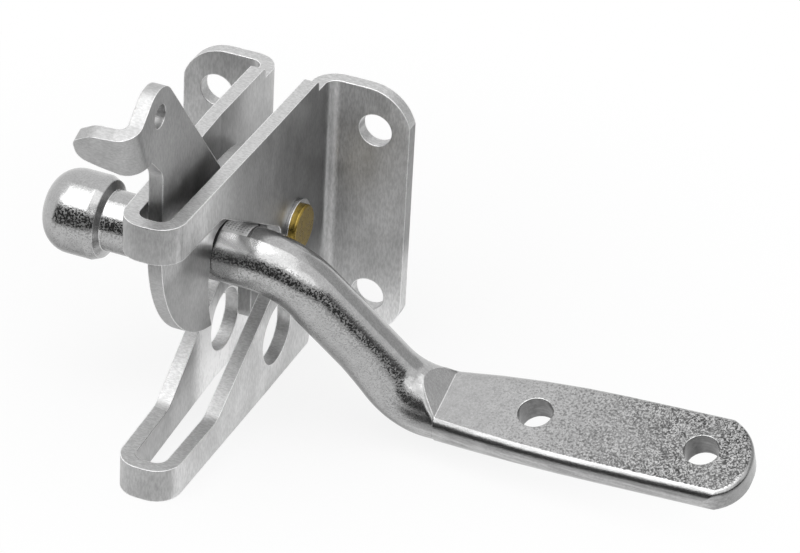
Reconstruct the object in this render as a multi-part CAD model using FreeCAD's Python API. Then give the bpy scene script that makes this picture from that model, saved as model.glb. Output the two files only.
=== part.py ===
import FreeCAD, Part
import math
import os

# Gate latch with its striker bar. Millimetres, Z up.
# The back of the mounting flanges is the plane Y = 0, the nose points towards -Y,
# X = 0 is the middle of the body and Z = 0 its mid height.

# Folded body
SHEET = 3.0                # thickness of the body's sheet
CHEEK_GAP = 8.8            # clear width between the two cheeks
BODY_REACH = 75.4          # from the mounting face to the front of the nose
CHEEK_HEIGHT = 62.8
FLANGE_WIDTH = 50.6        # over both flanges
FLANGE_STEP = 2.3          # the flanges are lower than the cheeks by this, top and bottom
FLANGE_BEND = 2.5          # inside radius of the bend between flange and cheek
NOSE_BEND = 2.4            # inside radius of the two bends of the nose
PINCH_START = 30.0         # the cheeks draw together from here to the nose
PINCH_LEFT = 1.9
PINCH_RIGHT = 0.3
STEP_REACH = 8.7           # the cheek steps down to the flange's height here
STEP_RADIUS = 1.0
CORNER_RADIUS = 10.0       # big corner arc of a flange
CORNER_INSET = 9.6         # centre of that arc from the flange's side edge

# Flange screw holes
FLANGE_HOLE = 7.2          # diameter
HOLE_SPAN_X = 35.6
HOLE_INSET_Z = 9.4         # from the flange's top or bottom edge

# Throat, the V that takes the bar
UPPER_JAW = 7.9            # height of the upper strap of the nose
LOWER_JAW = 7.2
MOUTH_DEPTH = 21.4         # from the nose's front to the start of the ramps
RAMP_RADIUS = 5.0
THROAT_BACK_Y = -25.4      # upright edge at the end of the throat
THROAT_BACK_HALF = 6.4     # half the height of that edge, before its corners
THROAT_BACK_RADIUS = 3.5

# Padlock hole through both cheeks
LOCK_HOLE = 13.6
LOCK_Y = -25.6
LOCK_RISE = 12.0           # its centre above the bottom of the cheeks

# Striker bar: round rod, knob, sideways jog, flattened end
BAR_DIAMETER = 12.7
BAR_Y = -39.9
BAR_Z = 6.9
BAR_TURN = 20.1            # degrees that the bar is turned about its rod
KNOB_DIAMETER = 17.6
KNOB_LENGTH = 13.7
KNOB_END_X = -36.9
KNOB_NOSE_RADIUS = 6.0
KNOB_HEEL_BEVEL = 2.4      # the heel's round is two bevels
JOG_START_X = 15.4         # where the rod's axis meets the axis of the jog
JOG_ANGLE = 53.0           # degrees
JOG_DROP = 30.8            # sideways offset of the jog
JOG_BEND = 15.0            # centre line radius of the first bend
HEEL_BEND = 12.0           # centre line radius of the second bend
PLATE_RISE = 4.4           # degrees between the flattened end and the rod
PLATE_TOP = 2.4            # the flat's upper face above the rod's axis
PLATE_START = 8.6          # start of the flat, from the second corner of the axis
PLATE_LENGTH = 73.8        # end of the flat, from the same corner
PLATE_TAPER = 36.0         # length over which it widens and thins
PLATE_THICKNESS_START = 6.5
PLATE_THICKNESS_END = 5.4
PLATE_WIDTH_START = 16.4   # over its round sides
PLATE_WIDTH_END = 20.9
PLATE_SWELL_START = 2.3    # how far the round sides swell out past the flat faces
PLATE_SWELL_END = 2.1
PLATE_SHIFT_START = -0.85  # its middle line lies this far to the side of the rod's
PLATE_SHIFT_END = -0.3
PLATE_CORNER_NEAR = 0.41   # radii of the sheared end's corners, as parts of its width
PLATE_CORNER_FAR = 0.53
PLATE_ROLL = 1.2           # rounding of the sheared end's upper edge
PLATE_BREAK = 0.8          # bevel of its lower edge
FACET_SLOPE = 47.0         # degrees of the sloping face between the rod and the flat
HEEL_SLOPE = 30.0          # degrees of the one below it
FLARE_STEP = 0.03          # the flare stands this proud of the rod it grows from
BAR_HOLE = 7.2
BAR_HOLE_INNER = 19.3      # from the start of the flat to the inner hole
BAR_HOLE_OUTER = 10.6      # from the outer hole to the end of the flat

# Lever
LEVER_THICKNESS = 3.0
PIVOT_Y = -18.3
PIVOT_Z = 2.4
LEVER_FRONT_Y = -68.9      # upright front edge
LEVER_REAR_Y = -9.7
LEVER_TOP_Z = 25.6
LEVER_TOP_RADIUS = 25.8
TAIL_FRONT_Y = -26.0
TAIL_BOTTOM_Z = -18.2
TAIL_WIDTH = 12.0
LOBE_RADIUS = 30.0         # long curve of the lobe's front
LOBE_TIP_Z = -8.0
LOBE_SLOPE = 16.0          # degrees of the lobe's underside
EAR_Y = -70.7              # centre of the ear's hole
EAR_Z = 53.4
EAR_HOLE = 4.8
EAR_RADIUS = 5.9
EAR_REAR_ANGLE = 51.5      # degrees, slope of the ear's rear edge
BEAK_TOP_ANGLE = 41.0      # degrees, slope of the edge between the ear and the tab
BEAK_LENGTH = 4.8
TAB_LEAN = 23.3            # degrees between the tab's fold and the upright
TAB_ROOT = 10.4            # length of the fold
TAB_BEND = 1.5             # inside radius of the fold
TAB_REACH = 8.7            # from the fold to the tab's rounded tip
TAB_TIP_RADIUS = 4.5
TAB_TIP_DROP = 5.0

# Pivot rivet, washer and spacers
RIVET_SHANK = 5.0
RIVET_HEAD = 9.9
RIVET_HEAD_HEIGHT = 1.3
RIVET_TAIL = 8.6           # diameter of the clenched end
RIVET_TAIL_HEIGHT = 1.5
RIVET_BREAK = 0.3          # bevel round the head
RIVET_TAIL_SLOPE = 0.9     # bevel round the clenched end
WASHER_DIAMETER = 11.8
WASHER_THICKNESS = 0.8
SPACER_DIAMETER = 9.6

# Clearances
RIVET_FIT = 0.05           # radial, between the shank and what sits on it
LEVER_FIT = 0.08           # radial, between the shank and the lever
LEVER_SIDE_PLAY = 0.15     # each side of the lever
NOTCH_PLAY = 0.3           # between the bar and the lever's notch

# Sizes that follow from the ones above
BODY_HALF = CHEEK_GAP / 2 + SHEET
FLANGE_HEIGHT = CHEEK_HEIGHT - 2 * FLANGE_STEP
HOLE_SPAN_Z = FLANGE_HEIGHT - 2 * HOLE_INSET_Z
MOUTH_TOP = CHEEK_HEIGHT / 2 - UPPER_JAW
MOUTH_BOTTOM = LOWER_JAW - CHEEK_HEIGHT / 2
LOCK_Z = LOCK_RISE - CHEEK_HEIGHT / 2
THROAT_MID_Z = (MOUTH_TOP + MOUTH_BOTTOM) / 2
BAR_RADIUS = BAR_DIAMETER / 2
LEVER_HALF = LEVER_THICKNESS / 2
LOCK_ARC = math.hypot(BAR_Y - PIVOT_Y, BAR_Z - PIVOT_Z) + BAR_RADIUS + NOTCH_PLAY
FAR = 200.0                # past every edge of the part


def vec(x, y, z):
    return FreeCAD.Vector(x, y, z)


def on_side(a, b):
    """A point of a side view: a is Y, b is Z."""
    return vec(0, a, b)


def on_front(a, b):
    """A point of a front view: a is X, b is Z."""
    return vec(a, 0, b)


def on_plan(a, b):
    """A point of a plan: a is X, b is Y."""
    return vec(a, b, 0)


def corner_arc(before, corner, after, radius):
    """The arc of the given radius that rounds one corner of an outline."""
    back = (before - corner).normalize()
    ahead = (after - corner).normalize()
    half = back.getAngle(ahead) / 2
    inward = (back + ahead).normalize()
    centre = corner + inward * (radius / math.sin(half))
    reach = radius / math.tan(half)
    start = corner + back * reach
    end = corner + ahead * reach
    return start, centre - inward * radius, end


def outline(corners, place):
    """A closed face from (a, b, radius) corners, each rounded by its radius."""
    points = [place(a, b) for a, b, radius in corners]
    edges = []
    first = last = None
    for i, (a, b, radius) in enumerate(corners):
        before, after = points[i - 1], points[(i + 1) % len(points)]
        if radius > 0:
            start, middle, end = corner_arc(before, points[i], after, radius)
            arc = Part.Arc(start, middle, end).toShape()
        else:
            start = end = points[i]
            arc = None
        if last is not None and last.distanceToPoint(start) > 1e-6:
            edges.append(Part.LineSegment(last, start).toShape())
        if arc is not None:
            edges.append(arc)
        if first is None:
            first = start
        last = end
    if last.distanceToPoint(first) > 1e-6:
        edges.append(Part.LineSegment(last, first).toShape())
    return Part.Face(Part.Wire(edges))


def prism(face, along):
    """A face carried along a vector, half of it to each side."""
    solid = face.extrude(along)
    solid.translate(along * -0.5)
    return solid


def rod(diameter, length, base, axis):
    return Part.makeCylinder(diameter / 2, length, base, axis)


def folded_strip():
    """The body's sheet as it runs in plan, flange to nose to flange, at full height."""
    side = BODY_HALF
    wing = FLANGE_WIDTH / 2
    outer_nose = NOSE_BEND + SHEET
    outer_bend = FLANGE_BEND + SHEET
    inside = side - SHEET
    nose, inner_nose = -BODY_REACH, SHEET - BODY_REACH
    corners = [
        (wing, 0, 0), (wing, -SHEET, 0),
        (side, -SHEET, FLANGE_BEND), (side, -PINCH_START, 0), (side - PINCH_RIGHT, nose, outer_nose),
        (PINCH_LEFT - side, nose, outer_nose), (-side, -PINCH_START, 0), (-side, -SHEET, FLANGE_BEND),
        (-wing, -SHEET, 0), (-wing, 0, 0),
        (-inside, 0, outer_bend), (-inside, -PINCH_START, 0), (PINCH_LEFT - inside, inner_nose, NOSE_BEND),
        (inside - PINCH_RIGHT, inner_nose, NOSE_BEND), (inside, -PINCH_START, 0), (inside, 0, outer_bend),
    ]
    return prism(outline(corners, on_plan), vec(0, 0, CHEEK_HEIGHT))


def flange_blank():
    """Front view of the flanges: corner arcs that meet the side edges at a slight kink."""
    wing, top = FLANGE_WIDTH / 2, FLANGE_HEIGHT / 2
    centre_x = wing - CORNER_INSET
    centre_z = top - CORNER_RADIUS
    kink_z = centre_z + math.sqrt(CORNER_RADIUS ** 2 - CORNER_INSET ** 2)
    middle = math.radians(52)
    edges = []
    for sx, sz in ((1, 1), (1, -1), (-1, -1), (-1, 1)):
        tangent = on_front(sx * centre_x, sz * top)
        kink = on_front(sx * wing, sz * kink_z)
        swell = on_front(sx * (centre_x + CORNER_RADIUS * math.cos(middle)),
                         sz * (centre_z + CORNER_RADIUS * math.sin(middle)))
        edges.append(Part.Arc(tangent, swell, kink).toShape())
        other_x = (kink, on_front(sx * wing, -sz * kink_z))
        other_z = (tangent, on_front(-sx * centre_x, sz * top))
        if sz > 0:
            edges.append(Part.LineSegment(*other_x).toShape())
        if sx > 0:
            edges.append(Part.LineSegment(*other_z).toShape())
    face = Part.Face(Part.Wire(Part.__sortEdges__(edges)))
    return prism(face, vec(0, 2 * STEP_REACH, 0))


def cheek_blank():
    """Side view of the cheeks, stepped down to the flange's height at the back."""
    high, low = CHEEK_HEIGHT / 2, FLANGE_HEIGHT / 2
    back, front = -STEP_REACH, -BODY_REACH - SHEET
    corners = [
        (front, high, 0), (back, high, STEP_RADIUS), (back, -high, STEP_RADIUS), (front, -high, 0),
    ]
    blank = prism(outline(corners, on_side), vec(2 * BODY_HALF, 0, 0))
    join = Part.makeBox(2 * BODY_HALF, STEP_REACH + SHEET, 2 * low,
                        vec(-BODY_HALF, back - SHEET / 2, -low))
    return blank.fuse(join)


def throat():
    """The V-shaped mouth: level jaws at the nose, two ramps, an upright rounded end."""
    ramp_y = -BODY_REACH + MOUTH_DEPTH
    corners = [
        (-FAR, MOUTH_TOP, 0), (ramp_y, MOUTH_TOP, RAMP_RADIUS),
        (THROAT_BACK_Y, THROAT_MID_Z + THROAT_BACK_HALF, THROAT_BACK_RADIUS),
        (THROAT_BACK_Y, THROAT_MID_Z - THROAT_BACK_HALF, THROAT_BACK_RADIUS),
        (ramp_y, MOUTH_BOTTOM, RAMP_RADIUS), (-FAR, MOUTH_BOTTOM, 0),
    ]
    return prism(outline(corners, on_side), vec(FAR, 0, 0))


def latch_body():
    """One folded sheet: two flanges, two cheeks and the two straps of the nose."""
    body = folded_strip().common(flange_blank().fuse(cheek_blank()))
    body = body.cut(throat())
    for sx in (-1, 1):
        for sz in (-1, 1):
            base = vec(sx * HOLE_SPAN_X / 2, -2 * SHEET, sz * HOLE_SPAN_Z / 2)
            body = body.cut(rod(FLANGE_HOLE, 3 * SHEET, base, vec(0, 1, 0)))
    body = body.cut(rod(LOCK_HOLE, FAR, vec(-FAR / 2, LOCK_Y, LOCK_Z), vec(1, 0, 0)))
    pivot = rod(RIVET_SHANK + 2 * RIVET_FIT, FAR, vec(-FAR / 2, PIVOT_Y, PIVOT_Z), vec(1, 0, 0))
    return body.cut(pivot).removeSplitter()


def ear_line(angle, side):
    """A line that touches the ear's rounding: a point of it and its direction."""
    slope = math.radians(angle)
    along = on_side(math.cos(slope), math.sin(slope))
    touch = on_side(EAR_Y - math.sin(slope) * EAR_RADIUS * side,
                    EAR_Z + math.cos(slope) * EAR_RADIUS * side)
    return touch, along


def crossing(point, along, other, other_along):
    """Where two lines of the side view meet."""
    gap = other - point
    turn = along.y * other_along.z - along.z * other_along.y
    return point + along * ((gap.y * other_along.z - gap.z * other_along.y) / turn)


def fold_frame():
    """The tab's fold in the side view: its top point, its direction and the way forward."""
    touch, along = ear_line(BEAK_TOP_ANGLE, 1)
    lean = math.radians(TAB_LEAN)
    down = on_side(math.sin(lean), -math.cos(lean))
    ahead = on_side(-math.cos(lean), -math.sin(lean))
    return touch - along * BEAK_LENGTH, down, ahead


def lever_plate():
    """The lever's flat plate: ear, upright front, lobe, tail and rounded back."""
    fold_top, down, ahead = fold_frame()
    fold_foot = fold_top + down * TAB_ROOT
    beak_touch, beak_along = ear_line(BEAK_TOP_ANGLE, 1)
    rear_touch, rear_along = ear_line(-EAR_REAR_ANGLE, 1)
    apex = crossing(beak_touch, beak_along, rear_touch, rear_along)
    root = crossing(rear_touch, rear_along, on_side(0, LEVER_TOP_Z), on_side(1, 0))
    lock_y = PIVOT_Y - math.sqrt(LOCK_ARC ** 2 - (PIVOT_Z - LOBE_TIP_Z) ** 2)
    lobe_z = LOBE_TIP_Z + (lock_y - LEVER_FRONT_Y) * math.tan(math.radians(LOBE_SLOPE))
    chin_z = fold_foot.z - (LEVER_FRONT_Y - fold_foot.y)
    corners = [
        (fold_top.y, fold_top.z, 0), (fold_foot.y, fold_foot.z, 0),
        (LEVER_FRONT_Y, chin_z, 4.0), (LEVER_FRONT_Y, lobe_z, LOBE_RADIUS),
        (lock_y, LOBE_TIP_Z, 0), (TAIL_FRONT_Y, LOBE_TIP_Z, 0),
        (TAIL_FRONT_Y, TAIL_BOTTOM_Z, 2.5), (TAIL_FRONT_Y + TAIL_WIDTH, TAIL_BOTTOM_Z, 4.0),
        (LEVER_REAR_Y, PIVOT_Z - 8, 6.0), (LEVER_REAR_Y, LEVER_TOP_Z, LEVER_TOP_RADIUS),
        (root.y, root.z, 3.0), (apex.y, apex.z, EAR_RADIUS),
    ]
    plate = prism(outline(corners, on_side), vec(LEVER_THICKNESS, 0, 0))
    hole = rod(EAR_HOLE, 3 * LEVER_THICKNESS, vec(-1.5 * LEVER_THICKNESS, EAR_Y, EAR_Z), vec(1, 0, 0))
    return plate.cut(hole)


def lever_notch():
    """The notch over the bar. Its front wall is an arc about the pivot, so it lifts clear."""
    roof = BAR_Z + BAR_RADIUS + NOTCH_PLAY
    corners = [
        (-FAR, roof, 0), (BAR_Y + BAR_RADIUS, roof, 5.0), (TAIL_FRONT_Y, PIVOT_Z - 5, 5.0),
        (TAIL_FRONT_Y, -FAR, 0), (-FAR, -FAR, 0),
    ]
    room = prism(outline(corners, on_side), vec(3 * LEVER_THICKNESS, 0, 0))
    sweep = rod(2 * LOCK_ARC, 3 * LEVER_THICKNESS,
                vec(-1.5 * LEVER_THICKNESS, PIVOT_Y, PIVOT_Z), vec(1, 0, 0))
    notch = room.common(sweep)
    roof_y = PIVOT_Y - math.sqrt(LOCK_ARC ** 2 - (roof - PIVOT_Z) ** 2)
    sharp = [e for e in notch.Edges
             if abs(e.CenterOfMass.y - roof_y) < 0.01 and abs(e.CenterOfMass.z - roof) < 0.01]
    return notch.makeFillet(4.0, sharp)


def lever_tab():
    """The thumb tab: the sheet folded a quarter turn to -X along the leaning fold."""
    top, down, ahead = fold_frame()
    sideways = vec(-1, 0, 0)
    edge = Part.makePolygon([top + vec(x, 0, 0) + down * u for x, u in (
        (LEVER_HALF, 0), (-LEVER_HALF, 0), (-LEVER_HALF, TAB_ROOT), (LEVER_HALF, TAB_ROOT),
        (LEVER_HALF, 0))])
    hinge = top + sideways * (LEVER_HALF + TAB_BEND)
    fold = Part.Face(edge).revolve(hinge, down, 90)

    def on_tab(u, v):
        """A point of the tab's front face: u down the fold, v out from it."""
        return hinge + ahead * (TAB_BEND + LEVER_THICKNESS) + down * u + sideways * v

    tip_v = TAB_REACH - TAB_TIP_RADIUS
    corners = [
        (0, 0, 0), (TAB_TIP_DROP - TAB_TIP_RADIUS, tip_v + 0.5, TAB_TIP_RADIUS * 0.9),
        (TAB_TIP_DROP - 0.4 * TAB_TIP_RADIUS, TAB_REACH, TAB_TIP_RADIUS * 0.5),
        (TAB_TIP_DROP + 0.7 * TAB_TIP_RADIUS, TAB_REACH, TAB_TIP_RADIUS * 0.7),
        (TAB_TIP_DROP + TAB_TIP_RADIUS, tip_v, TAB_TIP_RADIUS * 0.7), (TAB_ROOT, 0, 0),
    ]
    leaf = outline(corners, on_tab).extrude(ahead * -LEVER_THICKNESS)
    return fold, leaf


def latch_lever():
    """One plate with its notch and folded tab, bored for the rivet."""
    fold, leaf = lever_tab()
    lever = lever_plate().cut(lever_notch()).fuse([fold, leaf])
    bore = rod(RIVET_SHANK + 2 * LEVER_FIT, FAR, vec(-FAR / 2, PIVOT_Y, PIVOT_Z), vec(1, 0, 0))
    return lever.cut(bore).removeSplitter()


def turned(profile, place):
    """A solid of revolution about the line through place along X; profile holds (x, r, radius)."""
    face = outline(profile, lambda x, r: vec(x, place.y, place.z + r))
    return face.revolve(place, vec(1, 0, 0), 360)


def pivot_rivet():
    """Shank with a flat head outside the washer and a clenched end on the far cheek."""
    head_x = BODY_HALF + WASHER_THICKNESS
    end_x = head_x + RIVET_HEAD_HEIGHT
    tail_x = -BODY_HALF - RIVET_TAIL_HEIGHT
    profile = [
        (end_x, 0, 0), (end_x, RIVET_HEAD / 2 - RIVET_BREAK, 0), (end_x - RIVET_BREAK, RIVET_HEAD / 2, 0),
        (head_x, RIVET_HEAD / 2, 0), (head_x, RIVET_SHANK / 2, 0), (-BODY_HALF, RIVET_SHANK / 2, 0),
        (-BODY_HALF, RIVET_TAIL / 2, 0), (tail_x + RIVET_TAIL_SLOPE, RIVET_TAIL / 2, 0),
        (tail_x, RIVET_TAIL / 2 - RIVET_TAIL_SLOPE, 0), (tail_x, 0, 0),
    ]
    return turned(profile, vec(0, PIVOT_Y, PIVOT_Z))


def ring(outer, thickness, start_x):
    """A washer or spacer on the rivet's shank."""
    base = vec(start_x, PIVOT_Y, PIVOT_Z)
    bore = RIVET_SHANK + 2 * RIVET_FIT
    disc = rod(outer, thickness, base, vec(1, 0, 0))
    return disc.cut(rod(bore, thickness, base, vec(1, 0, 0)))


def bar_section(origin, along, width, swell, top, bottom, crest):
    """A section with round sides; its top and bottom are level, or bulge out to the crest."""
    wide = vec(0, 1, 0)
    thick = along.cross(wide)
    reach = width / 2 - swell

    def at(w, h):
        return origin + wide * w + thick * h

    corners = [at(reach, top), at(reach, bottom), at(-reach, bottom), at(-reach, top)]
    middle = (top + bottom) / 2
    swells = [at(width / 2, middle), at(0, -crest), at(-width / 2, middle), at(0, crest)]
    edges = []
    for i, out in enumerate(swells):
        a, b = corners[i], corners[(i + 1) % 4]
        straight = crest == 0 and i % 2 == 1
        curve = Part.LineSegment(a, b) if straight else Part.Arc(a, out, b)
        edges.append(curve.toShape())
    return Part.Wire(edges)


def bar_path():
    """Corner points and directions of the bar's axis, before it is turned and placed."""
    jog = math.radians(JOG_ANGLE)
    rise = math.radians(PLATE_RISE)
    first = vec(JOG_START_X, 0, 0)
    down = vec(math.cos(jog), 0, -math.sin(jog))
    second = first + down * (JOG_DROP / math.sin(jog))
    flat = vec(math.cos(rise), 0, math.sin(rise))
    return first, down, second, flat


def bent_rod(first, down, second, flat):
    """The round rod with its two bends."""
    level = vec(1, 0, 0)
    reach_1 = JOG_BEND * math.tan(level.getAngle(down) / 2)
    reach_2 = HEEL_BEND * math.tan(down.getAngle(flat) / 2)
    start = vec(KNOB_END_X + KNOB_LENGTH / 2, 0, 0)
    _, middle_1, _ = corner_arc(start, first, second, JOG_BEND)
    _, middle_2, _ = corner_arc(first, second, second + flat * FAR, HEEL_BEND)
    a, b = first - level * reach_1, first + down * reach_1
    c, d = second - down * reach_2, second + flat * reach_2
    path = Part.Wire([
        Part.LineSegment(start, a).toShape(), Part.Arc(a, middle_1, b).toShape(),
        Part.LineSegment(b, c).toShape(), Part.Arc(c, middle_2, d).toShape(),
    ])
    section = Part.Wire(Part.Circle(start, level, BAR_RADIUS).toShape())
    return path.makePipeShell([section], True, True), d


def plate_section(s, second, flat, crest):
    """The flat end's section at s. It widens and thins over the taper, faster at first."""
    left = max(1 - (s - PLATE_START) / PLATE_TAPER, 0)
    done = 1 - left ** 2

    def between(start, end):
        return start + (end - start) * done

    origin = second + flat * s + vec(0, between(PLATE_SHIFT_START, PLATE_SHIFT_END), 0)
    bottom = PLATE_TOP - between(PLATE_THICKNESS_START, PLATE_THICKNESS_END)
    return bar_section(origin, flat, between(PLATE_WIDTH_START, PLATE_WIDTH_END),
                       between(PLATE_SWELL_START, PLATE_SWELL_END), PLATE_TOP, bottom, crest)


def flare(neck_end, second, flat):
    """From the rod's end to the flat: the round section spreads sideways."""
    radius = BAR_RADIUS + FLARE_STEP
    level = radius * math.cos(math.radians(45))
    neck = bar_section(neck_end, flat, 2 * radius, radius - level, level, -level, radius)
    return Part.makeLoft([neck, plate_section(PLATE_START, second, flat, BAR_RADIUS)], True, True)


def facet_waste(second, flat):
    """What the two sloping faces between the rod and the flat take away."""
    thick = flat.cross(vec(0, 1, 0))
    tall = 1.12 * BAR_RADIUS
    wedges = []
    for low, high, slope in ((PLATE_TOP, tall, FACET_SLOPE),
                             (PLATE_TOP - PLATE_THICKNESS_START, -tall, HEEL_SLOPE)):
        back = abs(high - low) / math.tan(math.radians(slope))
        wedge = outline([
            (PLATE_START, low, 0), (PLATE_START + 1, low, 0),
            (PLATE_START + 1, high, 0), (PLATE_START - back, high, 0),
        ], lambda s, h: second + flat * s + thick * h)
        wedges.append(prism(wedge, vec(0, 4 * BAR_RADIUS, 0)))
    return wedges


def flat_end(second, flat):
    """The flattened end: a slab with round sides that widens to a sheared end, and two holes."""
    thick = flat.cross(vec(0, 1, 0))
    stations = [PLATE_START + PLATE_TAPER * i / 4 for i in range(5)] + [PLATE_LENGTH + 1]
    slab = Part.makeLoft([plate_section(s, second, flat, 0) for s in stations], True, True)
    near = PLATE_SHIFT_END - PLATE_WIDTH_END / 2 - 0.05
    far = PLATE_SHIFT_END + PLATE_WIDTH_END / 2 + 0.05
    shear = outline([
        (0, near, 0), (PLATE_LENGTH, near, PLATE_CORNER_NEAR * PLATE_WIDTH_END),
        (PLATE_LENGTH, far, PLATE_CORNER_FAR * PLATE_WIDTH_END), (0, far, 0),
    ], lambda s, w: second + flat * s + vec(0, w, 0))
    slab = slab.common(prism(shear, thick * (4 * PLATE_THICKNESS_START)))

    def rim(level):
        """The edges round the sheared end at one height."""
        corner_start = PLATE_LENGTH - PLATE_CORNER_NEAR * PLATE_WIDTH_END
        return [edge for edge in slab.Edges
                if (edge.CenterOfMass - second).dot(flat) > corner_start
                and all(abs((v.Point - second).dot(thick) - level) < 0.01 for v in edge.Vertexes)]

    slab = slab.makeFillet(PLATE_ROLL, rim(PLATE_TOP))
    slab = slab.makeChamfer(PLATE_BREAK, rim(PLATE_TOP - PLATE_THICKNESS_END))
    for reach in (PLATE_START + BAR_HOLE_INNER, PLATE_LENGTH - BAR_HOLE_OUTER):
        base = second + flat * reach - thick * PLATE_THICKNESS_START
        slab = slab.cut(rod(BAR_HOLE, 2 * PLATE_THICKNESS_START, base, thick))
    return slab


def striker_bar():
    """One forging: knob, round rod, jog and flattened end."""
    first, down, second, flat = bar_path()
    shaft, neck_end = bent_rod(first, down, second, flat)
    heel_x = KNOB_END_X + KNOB_LENGTH
    radius = KNOB_DIAMETER / 2
    knob = turned([
        (KNOB_END_X, 0, 0), (KNOB_END_X, radius, KNOB_NOSE_RADIUS),
        (heel_x - KNOB_HEEL_BEVEL, radius, 0),
        (heel_x - 0.3 * KNOB_HEEL_BEVEL, radius - 0.3 * KNOB_HEEL_BEVEL, 0),
        (heel_x, radius - KNOB_HEEL_BEVEL, 0), (heel_x, 0, 0),
    ], vec(0, 0, 0))
    blank = shaft.fuse(flare(neck_end, second, flat)).cut(facet_waste(second, flat))
    bar = blank.fuse([knob, flat_end(second, flat)]).removeSplitter()
    bar.rotate(vec(0, 0, 0), vec(1, 0, 0), BAR_TURN)
    bar.translate(vec(0, BAR_Y, BAR_Z))
    return bar


def main():
    os.makedirs("parts", exist_ok=True)
    spacer_length = (CHEEK_GAP - LEVER_THICKNESS) / 2 - LEVER_SIDE_PLAY
    parts = {
        "latch_body": latch_body(),
        "latch_lever": latch_lever(),
        "pivot_rivet": pivot_rivet(),
        "pivot_washer": ring(WASHER_DIAMETER, WASHER_THICKNESS, BODY_HALF),
        "spacer_right": ring(SPACER_DIAMETER, spacer_length, CHEEK_GAP / 2 - spacer_length),
        "spacer_left": ring(SPACER_DIAMETER, spacer_length, -CHEEK_GAP / 2),
        "striker_bar": striker_bar(),
    }
    for name, shape in parts.items():
        if len(shape.Solids) == 1:
            shape = shape.Solids[0]
        print(name, shape.isValid(), len(shape.Solids), round(shape.Volume, 1), shape.BoundBox)
        shape.exportStep("parts/" + name + ".step")


main()
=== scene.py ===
import math

import bpy
import numpy as np
from mathutils import Matrix, Vector


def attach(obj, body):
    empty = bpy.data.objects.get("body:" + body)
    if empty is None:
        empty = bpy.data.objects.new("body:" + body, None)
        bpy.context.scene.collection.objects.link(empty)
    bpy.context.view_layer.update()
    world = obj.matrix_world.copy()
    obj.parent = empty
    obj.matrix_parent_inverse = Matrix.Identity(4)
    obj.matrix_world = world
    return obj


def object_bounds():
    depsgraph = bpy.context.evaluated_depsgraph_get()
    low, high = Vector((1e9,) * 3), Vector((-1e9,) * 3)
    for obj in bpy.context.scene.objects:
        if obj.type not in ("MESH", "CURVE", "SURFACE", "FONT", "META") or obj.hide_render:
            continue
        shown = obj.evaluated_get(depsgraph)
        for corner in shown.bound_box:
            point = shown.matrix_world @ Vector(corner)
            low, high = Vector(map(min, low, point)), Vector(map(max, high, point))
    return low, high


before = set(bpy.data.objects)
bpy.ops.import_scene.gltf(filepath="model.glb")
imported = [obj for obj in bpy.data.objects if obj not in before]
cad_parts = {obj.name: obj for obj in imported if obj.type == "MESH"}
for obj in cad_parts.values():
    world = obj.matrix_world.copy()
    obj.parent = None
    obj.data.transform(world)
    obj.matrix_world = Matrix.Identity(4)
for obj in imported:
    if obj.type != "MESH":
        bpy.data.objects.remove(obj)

# Gate latch: metres, Z up, the same frame as the CAD. Lengths in capitals are in mm, angles in
# degrees.

cad_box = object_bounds()
MM = 0.001

# Camera, fitted to the photograph
CAMERA_BEARING, CAMERA_HEIGHT, CAMERA_ROLL = 21.303, 32.251, 3.168
CAMERA_TARGET = (35.434, -30.0, 4.905)
CAMERA_DISTANCE = 808.689
CAMERA_FOCAL_PIXELS = 4071.94
PHOTO_WIDTH_PIXELS = 800
SENSOR_WIDTH = 36.0

# Studio, in metres
LATCH_MIDDLE = (0, -0.03, 0)
FLOOR_HALF = 6.0
FLOOR_GAP = 0.0002         # the floor lies this far below the latch
SKIRT_GAP = 0.0005         # the studio walls' foot lies this far above the latch's lowest point

# Striker bar
BAR_RADIUS = 6.35
BAR_Y, BAR_Z = -39.9, 6.9
BAR_TURN = 20.1            # the bar is turned about its rod
JOG_START_X = 15.4         # where the rod's axis meets the axis of the jog
JOG_ANGLE = 53.0
JOG_DROP = 30.8            # sideways offset of the jog
HEEL_BEND = 12.0           # centre line radius of the bend between the jog and the flat
HEEL_LEAD = 13.0           # length of the jog over which the bar starts to spread
PLATE_RISE = 4.4           # the flat's angle to the rod
PLATE_START = 8.6          # start of the flat, from the corner of the axis
PLATE_TOP, PLATE_BOTTOM = 2.4, -4.1
FACET_SLOPE, HEEL_SLOPE = 47.0, 30.0
FACE_GAP = 0.05            # the spread stays this far under the two sloping faces
SKIN_DEPTH = 0.12          # and this far under the round rod where it doesn't stand out
PLATE_UPWARD = (-0.07672, -0.34265, 0.93633)
PLATE_HOLES = ((66.46, -29.91, -20.41), (101.65, -30.88, -17.75))
PLATE_HOLE_WALL = 3.62

# How far the spread stands out at the flat, by angle from the front, upwards positive
SWELL_ANGLES = (-78, -60, -45, -31, -20, -9, 0, 10, 20, 35, 50, 70, 88)
SWELL_HEIGHTS = (0, 0.3, 0.8, 1.52, 2.25, 2.74, 2.6, 1.95, 1.2, 0.8, 0.45, 0.12, 0)
SWELL_SMOOTHING = 15

# Finishes
SHEET_ROUGH = 0.36
SOFT_EDGE = 0.4            # radius over which an edge is softened and given a painted highlight
SMALL_SOFT_EDGE = 0.25
EDGE_PAINTED_HIGHLIGHT = 1.9          # how much brighter the painted highlight on an edge is


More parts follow.
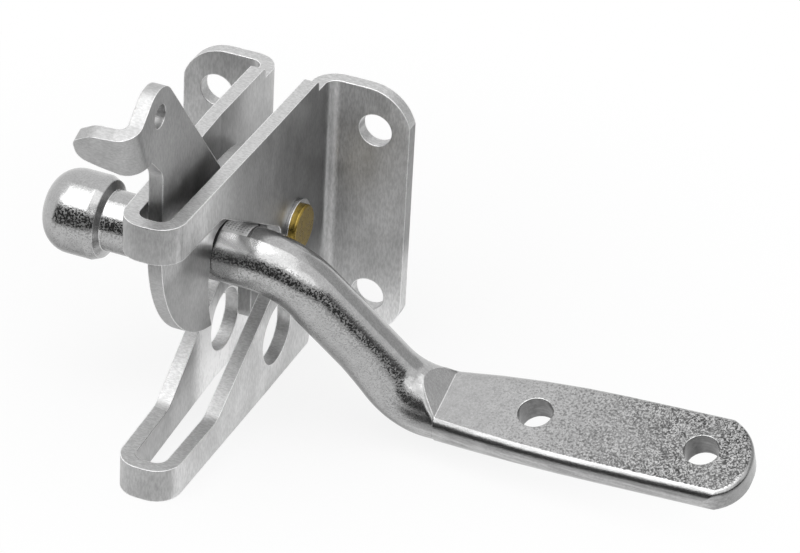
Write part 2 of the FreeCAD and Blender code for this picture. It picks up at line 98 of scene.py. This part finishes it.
class Nodes:
    """A short way to write down a node tree."""

    def __init__(self, tree):
        self.tree = tree

    def add(self, kind, **inputs):
        node = self.tree.nodes.new(kind)
        for name, value in inputs.items():
            if hasattr(node, name) and name not in node.inputs:
                setattr(node, name, value)
            else:
                self.feed(node.inputs[name], value)
        return node

    def feed(self, socket, value):
        if isinstance(value, bpy.types.NodeSocket):
            self.tree.links.new(value, socket)
        else:
            socket.default_value = value

    def math(self, operation, *values):
        return self.on_numbers("ShaderNodeMath", operation, values).outputs[0]

    def vector(self, operation, *values):
        return self.on_numbers("ShaderNodeVectorMath", operation, values).outputs

    def on_numbers(self, kind, operation, values):
        node = self.tree.nodes.new(kind)
        node.operation = operation
        for socket, value in zip(node.inputs, values):
            self.feed(socket, value)
        return node

    def times(self, first, *others):
        """The product of all the values."""
        for value in others:
            first = self.math("MULTIPLY", first, value)
        return first

    def ramp(self, value, low, high, out_low=0.0, out_high=1.0):
        """From out_low below low to out_high above high, with soft ends."""
        node = self.tree.nodes.new("ShaderNodeMapRange")
        node.interpolation_type = "SMOOTHSTEP"
        for name, v in (("Value", value), ("From Min", low), ("From Max", high),
                        ("To Min", out_low), ("To Max", out_high)):
            self.feed(node.inputs[name], v)
        return node.outputs[0]

    def fall(self, value, low, high):
        """1 below low, 0 above high."""
        return self.ramp(value, low, high, 1.0, 0.0)

    def band(self, value, low, low_full, high_full, high):
        """1 between the two middle values, 0 outside the outer ones."""
        return self.times(self.ramp(value, low, low_full), self.fall(value, high_full, high))

    def tint(self, noise, low, high):
        """The middle of a noise's range, spread from low to high."""
        return self.ramp(noise, 0.3, 0.7, low, high)

    def ease(self, factor, a, b):
        """From a to b, with soft ends."""
        return self.ramp(factor, 0.0, 1.0, a, b)

    def blend(self, factor, a, b):
        """From a to b in a straight line."""
        return self.add("ShaderNodeMix", Factor=factor, A=a, B=b).outputs[0]

    def noise(self, vector, scale, detail, roughness, distortion=0.0):
        return self.add("ShaderNodeTexNoise", Vector=vector, Scale=scale, Detail=detail,
                        Roughness=roughness, Distortion=distortion).outputs["Fac"]

    def stretch(self, vector, scale):
        return self.add("ShaderNodeMapping", Vector=vector, Scale=scale).outputs["Vector"]


def new_material(name):
    material = bpy.data.materials.new(name)
    material.use_nodes = True
    tree = material.node_tree
    tree.nodes.clear()
    return material, Nodes(tree)


def add_object(name, data):
    piece = bpy.data.objects.new(name, data)
    bpy.context.scene.collection.objects.link(piece)
    return piece


def place_camera():
    """The camera of the photograph, from its fitted bearing, height, roll and distance."""
    bearing, height, roll = (math.radians(a) for a in (CAMERA_BEARING, CAMERA_HEIGHT, CAMERA_ROLL))
    back = Vector((math.sin(bearing) * math.cos(height), -math.cos(bearing) * math.cos(height),
                   math.sin(height)))
    level = Vector((math.cos(bearing), math.sin(bearing), 0))
    upright = back.cross(level)
    right = level * math.cos(roll) + upright * math.sin(roll)
    up = upright * math.cos(roll) - level * math.sin(roll)
    place = Vector(CAMERA_TARGET) * MM + back * CAMERA_DISTANCE * MM
    data = bpy.data.cameras.new("camera")
    data.sensor_width = SENSOR_WIDTH
    data.sensor_fit = "HORIZONTAL"
    data.lens = CAMERA_FOCAL_PIXELS / PHOTO_WIDTH_PIXELS * SENSOR_WIDTH
    data.clip_start = 0.01
    camera = add_object("camera", data)
    camera.matrix_world = Matrix((
        (right.x, up.x, back.x, place.x), (right.y, up.y, back.y, place.y),
        (right.z, up.z, back.z, place.z), (0, 0, 0, 1)))
    bpy.context.scene.camera = camera


def reflected(n, ray):
    """1 for a ray that a surface mirrors or lets through."""
    return n.math("MAXIMUM", ray["Is Glossy Ray"], ray["Is Transmission Ray"])


def light_world():
    """White to the eye and in reflections, softer as a light."""
    world = bpy.data.worlds.new("studio")
    bpy.context.scene.world = world
    world.use_nodes = True
    world.node_tree.nodes.clear()
    n = Nodes(world.node_tree)
    ray = n.add("ShaderNodeLightPath").outputs
    seen = n.math("MAXIMUM", ray["Is Camera Ray"], reflected(n, ray))
    shade = n.add("ShaderNodeBackground", Color=(1, 1, 1, 1), Strength=n.ease(seen, 0.55, 1.0))
    n.add("ShaderNodeOutputWorld", Surface=shade.outputs[0])


def area_light(name, place, size, power):
    """A rectangular lamp that looks at the latch."""
    data = bpy.data.lights.new(name, "AREA")
    data.shape = "RECTANGLE"
    data.size, data.size_y = size
    data.energy = power
    lamp = add_object(name, data)
    lamp.location = place
    lamp.rotation_euler = (Vector(LATCH_MIDDLE) - Vector(place)).to_track_quat("-Z", "Y").to_euler()


def studio_wall(name, near, far, bearings, heights, tone):
    """A dim side of the studio, seen only in reflections.

    It lies on the floor from the near radius to the far one, and stands up there to the height
    of its bearing: a point is (r * sin(bearing), -r * cos(bearing), z), with z = floor or
    r * tan(height).
    """
    count = 49
    bearing = np.radians(np.linspace(bearings[0], bearings[-1], count))
    height = np.interp(bearing, np.radians(bearings), np.radians(heights))
    foot = np.full(count, cad_box[0][2] + SKIRT_GAP)
    rows = [np.stack((r * np.sin(bearing), -r * np.cos(bearing), z), axis=1)
            for r, z in ((near, foot), (far, foot), (far, far * np.tan(height)))]
    index = np.arange(3 * count).reshape(3, count)
    quads = np.stack((index[:-1, :-1], index[:-1, 1:], index[1:, 1:], index[1:, :-1]), axis=-1)
    mesh = bpy.data.meshes.new(name)
    mesh.from_pydata(np.concatenate(rows).tolist(), [], quads.reshape(-1, 4).tolist())
    wall = add_object(name, mesh)
    material, n = new_material(name)
    shade = n.add("ShaderNodeEmission", Color=(tone, tone, tone, 1), Strength=1.0)
    n.add("ShaderNodeOutputMaterial", Surface=shade.outputs[0])
    mesh.materials.append(material)
    wall.visible_camera = False
    wall.visible_diffuse = False
    wall.visible_shadow = False
    wall.visible_transmission = False


def lay_floor():
    """A plain pale floor that fades to the white of the background away from the latch."""
    level = cad_box[0][2] - FLOOR_GAP
    corners = [(x * FLOOR_HALF, y * FLOOR_HALF, level) for x, y in ((-1, -1), (1, -1), (1, 1), (-1, 1))]
    mesh = bpy.data.meshes.new("floor")
    mesh.from_pydata(corners, [], [(0, 1, 2, 3)])
    floor = add_object("floor", mesh)
    material, n = new_material("pale_floor")
    where = n.add("ShaderNodeTexCoord").outputs["Object"]
    reach = n.vector("LENGTH", where)["Value"]
    ray = n.add("ShaderNodeLightPath").outputs
    away = n.ramp(reach, 0.04, 0.14, 0.84, 1.0)
    mirrored = n.ramp(reach, 0.03, 0.14, 0.80, 1.0)
    fade = n.math("MAXIMUM", n.times(away, ray["Is Camera Ray"]), n.times(mirrored, reflected(n, ray)))
    paint = n.add("ShaderNodeBsdfDiffuse", Color=(0.86, 0.86, 0.86, 1))
    white = n.add("ShaderNodeEmission", Color=(1, 1, 1, 1), Strength=1.0)
    shade = n.add("ShaderNodeMixShader", Fac=fade)
    n.feed(shade.inputs[1], paint.outputs[0])
    n.feed(shade.inputs[2], white.outputs[0])
    n.add("ShaderNodeOutputMaterial", Surface=shade.outputs[0])
    mesh.materials.append(material)


def surface_frame(n):
    """Place of the surface, its parts, and the parts of its direction, in the object's axes."""
    where = n.add("ShaderNodeTexCoord").outputs
    place = n.add("ShaderNodeSeparateXYZ", Vector=where["Object"]).outputs
    facing = n.add("ShaderNodeSeparateXYZ", Vector=where["Normal"]).outputs
    return where["Object"], place, facing


def near_axis(n, where, foot, axis, radius):
    """1 inside the given radius (mm) around a line through foot (mm), 0 outside."""
    offset = n.vector("SUBTRACT", where, tuple(v * MM for v in foot))[0]
    moment = n.vector("CROSS_PRODUCT", offset, axis)[0]
    return n.fall(n.vector("LENGTH", moment)["Value"], radius * MM, (radius + 0.12) * MM)


def grey_metal(n, tone, light, roughness, height, bump, distance, edge_radius, metallic=1.0):
    """A metal whose tone is scaled by light, with a bump over softened edges that carry a painted
    highlight.
    """
    edge = n.add("ShaderNodeBevel", samples=8, Radius=edge_radius * MM)
    surface = n.add("ShaderNodeNewGeometry").outputs["Normal"]
    turn = n.vector("DOT_PRODUCT", edge.outputs[0], surface)["Value"]
    # painted highlight: the tone is raised where the softened edge turns the normal
    light = n.times(light, n.ramp(turn, 0.88, 0.99, EDGE_PAINTED_HIGHLIGHT, 1.0))
    colour = n.add("ShaderNodeVectorMath", operation="SCALE", Scale=light)
    n.feed(colour.inputs[0], tone)
    relief = n.add("ShaderNodeBump", Strength=bump, Distance=distance * MM, Height=height,
                   Normal=edge.outputs[0])
    metal = n.add("ShaderNodeBsdfPrincipled", Metallic=metallic, Roughness=roughness,
                  Normal=relief.outputs[0])
    n.feed(metal.inputs["Base Color"], colour.outputs[0])
    n.add("ShaderNodeOutputMaterial", Surface=metal.outputs[0])


def body_painted_light(n, place, facing):
    """Painted light and added roughness of the body.

    The upper rear of the right cheek is darkened with painted shade, and its flange and both lower struts
    are lightened with painted light.
    """
    right = n.ramp(place["X"], 5.3 * MM, 5.7 * MM)
    left = n.fall(place["X"], -4.2 * MM, -3.8 * MM)
    cheek = n.ramp(n.math("ABSOLUTE", facing["X"]), 0.80, 0.95)
    flange = n.times(right, n.ramp(n.math("ABSOLUTE", facing["Y"]), 0.80, 0.95))
    low = n.fall(place["Z"], -15 * MM, -3 * MM)
    # painted light and shade on the right cheek: brighter low down and at the front, darker towards the
    # upper rear
    rear = n.ramp(place["Y"], -64 * MM, -42 * MM, 1.4, 0.57)
    from_middle = n.math("ABSOLUTE", n.math("ADD", place["Z"], 2 * MM))
    # painted light on the right flange, brightest towards its top and bottom, and on the left cheek low
    # down
    light = n.times(n.blend(n.times(right, cheek), 1.0, n.blend(low, rear, 1.4)),
                    n.blend(flange, 1.0, n.ramp(from_middle, 4 * MM, 24 * MM, 1.2, 1.8)),
                    n.blend(n.times(left, cheek), 1.0, n.ease(low, 1.0, 2.3)))
    return light, n.ease(flange, 0.0, 0.12)


def lever_painted_light(n, place, facing):
    """Painted light and added roughness of the lever.

    Its sides carry painted light, brightest where they come out from between the cheeks, and painted shade
    at the ear.
    """
    side = n.ramp(n.math("ABSOLUTE", facing["X"]), 0.80, 0.95)
    # painted light low down between the cheeks, painted shade up at the ear
    upper = n.ramp(place["Z"], 14 * MM, 38 * MM, 2.4, 0.78)
    light = n.blend(n.ramp(place["Z"], 12 * MM, 18 * MM), 1.12, upper)
    return n.blend(side, 1.0, light), 0.0


def sheet_zinc(name, tone, edge_tones, painted_shading):
    """Rolled, zinc-plated sheet: soft clouds, an upright grain, and brighter sheared edges.

    The sheets stand upright, so a surface that leans up or down is a sheared edge. It has fine
    score lines across the sheet, between the two edge tones. The given shading function adds painted light
    and shade, and roughness.
    """
    material, n = new_material(name)
    where, place, facing = surface_frame(n)
    cloud = n.noise(where, 75.0, 3.0, 0.55)
    patch = n.noise(n.stretch(where, (1.0, 1.0, 0.45)), 320.0, 3.0, 0.6)
    grain = n.noise(n.stretch(where, (1.0, 1.0, 0.3)), 2600.0, 2.0, 0.6)
    score = n.noise(n.stretch(where, (0.4, 1.0, 1.0)), 3000.0, 2.0, 0.7)
    # painted light and shade from the given function, and its added roughness
    painted_tone, dull = painted_shading(n, place, facing)
    sheared = n.ramp(n.math("ABSOLUTE", facing["Z"]), 0.08, 0.3)
    light = n.times(n.tint(cloud, 0.86, 1.13), n.tint(patch, 0.93, 1.07), n.tint(grain, 0.88, 1.12), painted_tone)
    light = n.blend(sheared, light, n.tint(score, *edge_tones))
    roughness = n.math("ADD", n.ramp(patch, 0.25, 0.75, SHEET_ROUGH - 0.05, SHEET_ROUGH + 0.06), dull)
    roughness = n.math("ADD", roughness, n.ease(sheared, 0.0, 0.16))
    grey_metal(n, tone, light, roughness, grain, 0.2, 0.04, SOFT_EDGE)
    return material


def plate_mottle(n, where, along, facing):
    """Tones of the flattened end's upper face: fine specks, then coarse worms near its end."""
    flat = n.ramp(facing["Z"], 0.80, 0.92)
    specks = n.noise(where, 2100.0, 2.0, 0.6)
    speckled = n.times(n.ramp(along, 45 * MM, 82 * MM, 0.1, 1.0), flat)
    worms = n.noise(where, 1000.0, 2.0, 0.6, 2.6)
    stains = n.noise(where, 110.0, 2.0, 0.6)
    stained = n.times(n.ramp(along, 62 * MM, 100 * MM), flat, n.ramp(stains, 0.36, 0.58, 0.65, 1.0))
    return (n.blend(speckled, 1.0, n.ramp(specks, 0.36, 0.52, 0.45, 1.04)),
            n.blend(stained, 1.0, n.ramp(worms, 0.42, 0.58, 0.16, 1.22)))


def rod_grip_and_highlight(n, where, along, facing):
    """The dotted grip mark on the rod between the lever and the cheek, and a painted highlight beside it.

    Gives where the rod has the grip mark or the painted highlight, where the dotted grip mark is on its
    top, and the tone there.
    """
    grip = n.times(n.band(along, 1.6 * MM, 1.8 * MM, 7.2 * MM, 7.4 * MM), n.ramp(facing["Y"], -0.34, -0.28))
    # painted highlight: a bright band on the upper front of the rod beside the grip mark
    painted_highlight = n.times(n.band(along, 1.6 * MM, 2.4 * MM, 7.5 * MM, 10.0 * MM),
                     n.band(facing["Y"], -0.86, -0.74, -0.44, -0.36))
    grip_or_highlight = n.times(n.math("MAXIMUM", grip, painted_highlight), n.ramp(facing["Z"], 0.1, 0.3))
    dots = n.add("ShaderNodeTexVoronoi", Vector=n.stretch(where, (1.0, 1.0, 0.6)), Scale=1500.0,
                 Randomness=0.15).outputs["Distance"]
    return grip_or_highlight, grip, n.blend(grip, 2.1, n.ramp(dots, 0.25, 0.45, 1.0, 2.15))


def rod_zinc(name, tone):
    """Forged, zinc-plated bar: a pitted skin, and a coarse mottle on the flattened end.

    The walls of the two screw holes and the rod's underside are darkened with painted shade, and
    the front upper roll of the flat with painted shade below its top edge. The flattened end has
    long streaks on its sides and a duller end wall. Beside the cheek the rod carries a painted
    highlight. What faces the front has a speckled gloss.
    """
    material, n = new_material(name)
    where, place, facing = surface_frame(n)
    along = place["X"]
    pits = n.noise(where, 2300.0, 2.0, 0.7)
    grit = n.noise(where, 2500.0, 1.5, 0.6)
    skin = n.noise(where, 420.0, 3.0, 0.6)
    light = n.times(n.tint(pits, 0.92, 1.06), n.tint(skin, 0.95, 1.05),
                    *plate_mottle(n, where, along, facing))
    # painted shade on the walls of the two screw holes
    for foot in PLATE_HOLES:
        bore = near_axis(n, where, foot, PLATE_UPWARD, PLATE_HOLE_WALL)
        light = n.blend(bore, light, n.tint(skin, 0.36, 0.5))
    # the dotted grip mark and the painted highlight beside it
    grip_or_highlight, grip, grip_and_highlight_tone = rod_grip_and_highlight(n, where, along, facing)
    light = n.blend(grip_or_highlight, light, grip_and_highlight_tone)

    beyond = n.ramp(along, 36 * MM, 46 * MM)
    side = n.times(beyond, n.fall(facing["Y"], -0.72, -0.55))
    # painted shade on the front upper roll of the flat, below its top edge
    rolled = n.times(beyond, n.fall(facing["Y"], -0.50, -0.40), n.band(facing["Z"], -0.1, 0.2, 0.72, 0.82))
    streaks = n.noise(n.stretch(where, (0.06, 1.0, 1.0)), 1500.0, 3.0, 0.6)
    end = n.times(n.ramp(along, 95 * MM, 100 * MM), n.ramp(facing["X"], 0.2, 0.7),
                  n.fall(facing["Z"], 0.5, 0.8))
    # painted shade: ahead of the flat, the bar is darker where it faces down
    under = n.math("MULTIPLY_ADD", facing["X"], 0.5, facing["Z"])
    light = n.times(light, n.ease(rolled, 1.0, 0.75), n.blend(side, 1.0, n.tint(streaks, 0.80, 1.16)),
                    n.ease(end, 1.0, 0.72), n.blend(beyond, n.ramp(under, -0.75, -0.05, 0.42, 1.0), 1.0))

    fronted = n.fall(n.math("MULTIPLY_ADD", facing["X"], -0.3, facing["Y"]), -0.86, -0.74)
    roughness = n.blend(fronted, 0.19, n.ramp(grit, 0.45, 0.62, 0.14, 0.50))
    roughness = n.blend(n.math("MAXIMUM", side, grip_or_highlight), roughness, 0.25)
    metallic = n.ease(n.times(grip_or_highlight, grip), 1.0, 0.2)
    grey_metal(n, tone, light, roughness, pits, 0.5, 0.05, SOFT_EDGE, metallic)
    return material


def plated(name, tone, rough):
    """A small plated piece, with duller and brighter spots."""
    material, n = new_material(name)
    spots = n.noise(surface_frame(n)[0], 900.0, 3.0, 0.6)
    roughness = n.tint(spots, rough - 0.04, rough + 0.08)
    grey_metal(n, tone, n.tint(spots, 0.88, 1.08), roughness, spots, 0.1, 0.03, SMALL_SOFT_EDGE)
    return material


def swell_at(angle):
    """How far the spread stands out at the flat, by angle: a smooth line through the list above."""
    fine = np.arange(-180.0, 180.0)
    weights = np.hanning(SWELL_SMOOTHING)
    swell = np.convolve(np.interp(fine, SWELL_ANGLES, SWELL_HEIGHTS), weights / weights.sum(), "same")
    return np.interp((np.degrees(angle) + 180) % 360 - 180, fine, swell)


def heel_surface(stations, around):
    """Points around the heel, before the bar is turned and placed, in mm.

    The axis runs down the jog, round the heel's arc and on to the start of the flat. Around it
    the radius is r = skin + b(t) * swell(angle), where b(t) = t * t * (3 - 2 * t) and t grows
    from 0 on the jog to 1 at the flat. What would pass the bar's two sloping faces is drawn in
    to them.
    """
    jog, rise = math.radians(JOG_ANGLE), math.radians(PLATE_RISE)
    reach = HEEL_BEND * math.tan((jog + rise) / 2)
    arc = HEEL_BEND * (jog + rise)
    down = np.array((math.cos(jog), 0.0, -math.sin(jog)))
    inward = np.array((math.sin(jog), 0.0, math.cos(jog)))
    flat = np.array((math.cos(rise), 0.0, math.sin(rise)))
    flat_up = np.array((-math.sin(rise), 0.0, math.cos(rise)))
    corner = np.array((JOG_START_X, 0.0, 0.0)) + down * (JOG_DROP / math.sin(jog))
    centre = corner - down * reach + HEEL_BEND * inward

    length = np.linspace(-HEEL_LEAD, arc + PLATE_START - reach, stations)[:, None]
    angle = np.linspace(0, 2 * math.pi, around, endpoint=False)[None, :]
    t = (length + HEEL_LEAD) / (length[-1] + HEEL_LEAD)
    theta = np.clip(length, 0, arc) / HEEL_BEND - jog
    along = np.stack((np.cos(theta), 0 * theta, np.sin(theta)), axis=-1)
    up = np.stack((-np.sin(theta), 0 * theta, np.cos(theta)), axis=-1)
    straight = np.minimum(length, 0) + np.maximum(length - arc, 0)
    axis = centre - HEEL_BEND * up + along * straight[..., None]

    swell = swell_at(angle)
    swell = swell + (SKIN_DEPTH + 0.01) * np.minimum(swell, 1)
    r = BAR_RADIUS - SKIN_DEPTH + t * t * (3 - 2 * t) * swell
    front = np.array((0.0, -1.0, 0.0))
    point = axis + r[..., None] * (np.cos(angle)[..., None] * front + np.sin(angle)[..., None] * up)

    s = (point - corner) @ flat
    h = (point - corner) @ flat_up
    high = PLATE_TOP - FACE_GAP + (PLATE_START - s) * math.tan(math.radians(FACET_SLOPE))
    low = PLATE_BOTTOM + FACE_GAP - (PLATE_START - s) * math.tan(math.radians(HEEL_SLOPE))
    held = np.where(s > 0, np.clip(h, low, high), h)
    return point + (held - h)[..., None] * flat_up


def heel_spread():
    """The bar's front side spreads along the outside of the heel, ahead of the flattened end.

    The points are turned about the rod and moved to its place: y' = y * cos - z * sin, and
    z' = y * sin + z * cos. Both ends of the surface are closed.
    """
    stations, around = 44, 96
    x, y, z = np.moveaxis(heel_surface(stations, around), -1, 0)
    turn = math.radians(BAR_TURN)
    placed = np.stack((x, y * math.cos(turn) - z * math.sin(turn) + BAR_Y,
                       y * math.sin(turn) + z * math.cos(turn) + BAR_Z), axis=-1)
    index = np.arange(stations * around).reshape(stations, around)
    beside = np.roll(index, -1, axis=1)
    quads = np.stack((index[:-1], index[1:], beside[1:], beside[:-1]), axis=-1).reshape(-1, 4)
    faces = quads.tolist() + [index[0].tolist(), index[-1][::-1].tolist()]
    mesh = bpy.data.meshes.new("bar_heel_spread")
    mesh.from_pydata((placed.reshape(-1, 3) * MM).tolist(), [], faces)
    mesh.polygons.foreach_set("use_smooth", [True] * len(quads) + [False, False])
    return add_object("bar_heel_spread", mesh)


place_camera()
light_world()
lay_floor()
area_light("overhead", (-0.25, -0.33, 0.80), (0.50, 0.90), 2.6)
area_light("overhead_wide", (0.05, -0.38, 0.85), (1.20, 1.10), 3.4)
area_light("right_side", (0.62, -0.50, 0.42), (0.60, 0.40), 0.6)
studio_wall("dark_side", 0.22, 0.9, (-50, -20, 30, 56, 80, 110), (26, 38, 29, 17, 13, 7), 0.045)
studio_wall("grey_back", 0.90, 1.2, (112, 125, 150, 165), (30, 44, 44, 30), 0.55)

finishes = {
    "latch_body": sheet_zinc("body_zinc", (0.43, 0.43, 0.43), (1.12, 1.5), body_painted_light),
    "latch_lever": sheet_zinc("lever_zinc", (0.36, 0.36, 0.36), (1.15, 1.45), lever_painted_light),
    "striker_bar": rod_zinc("bar_zinc", (0.44, 0.44, 0.44)),
    "pivot_rivet": plated("rivet_brass", (0.35, 0.25, 0.062), 0.28),
    "pivot_washer": plated("washer_zinc", (0.60, 0.60, 0.60), 0.2),
    "spacer_left": plated("spacer_zinc", (0.42, 0.42, 0.42), 0.35),
}
finishes["spacer_right"] = finishes["spacer_left"]
for node, material in finishes.items():
    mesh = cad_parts[node].data
    mesh.materials.clear()
    mesh.materials.append(material)

heel = heel_spread()
heel.data.materials.append(finishes["striker_bar"])
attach(heel, "body")

view = bpy.context.scene.view_settings
view.view_transform = "Standard"
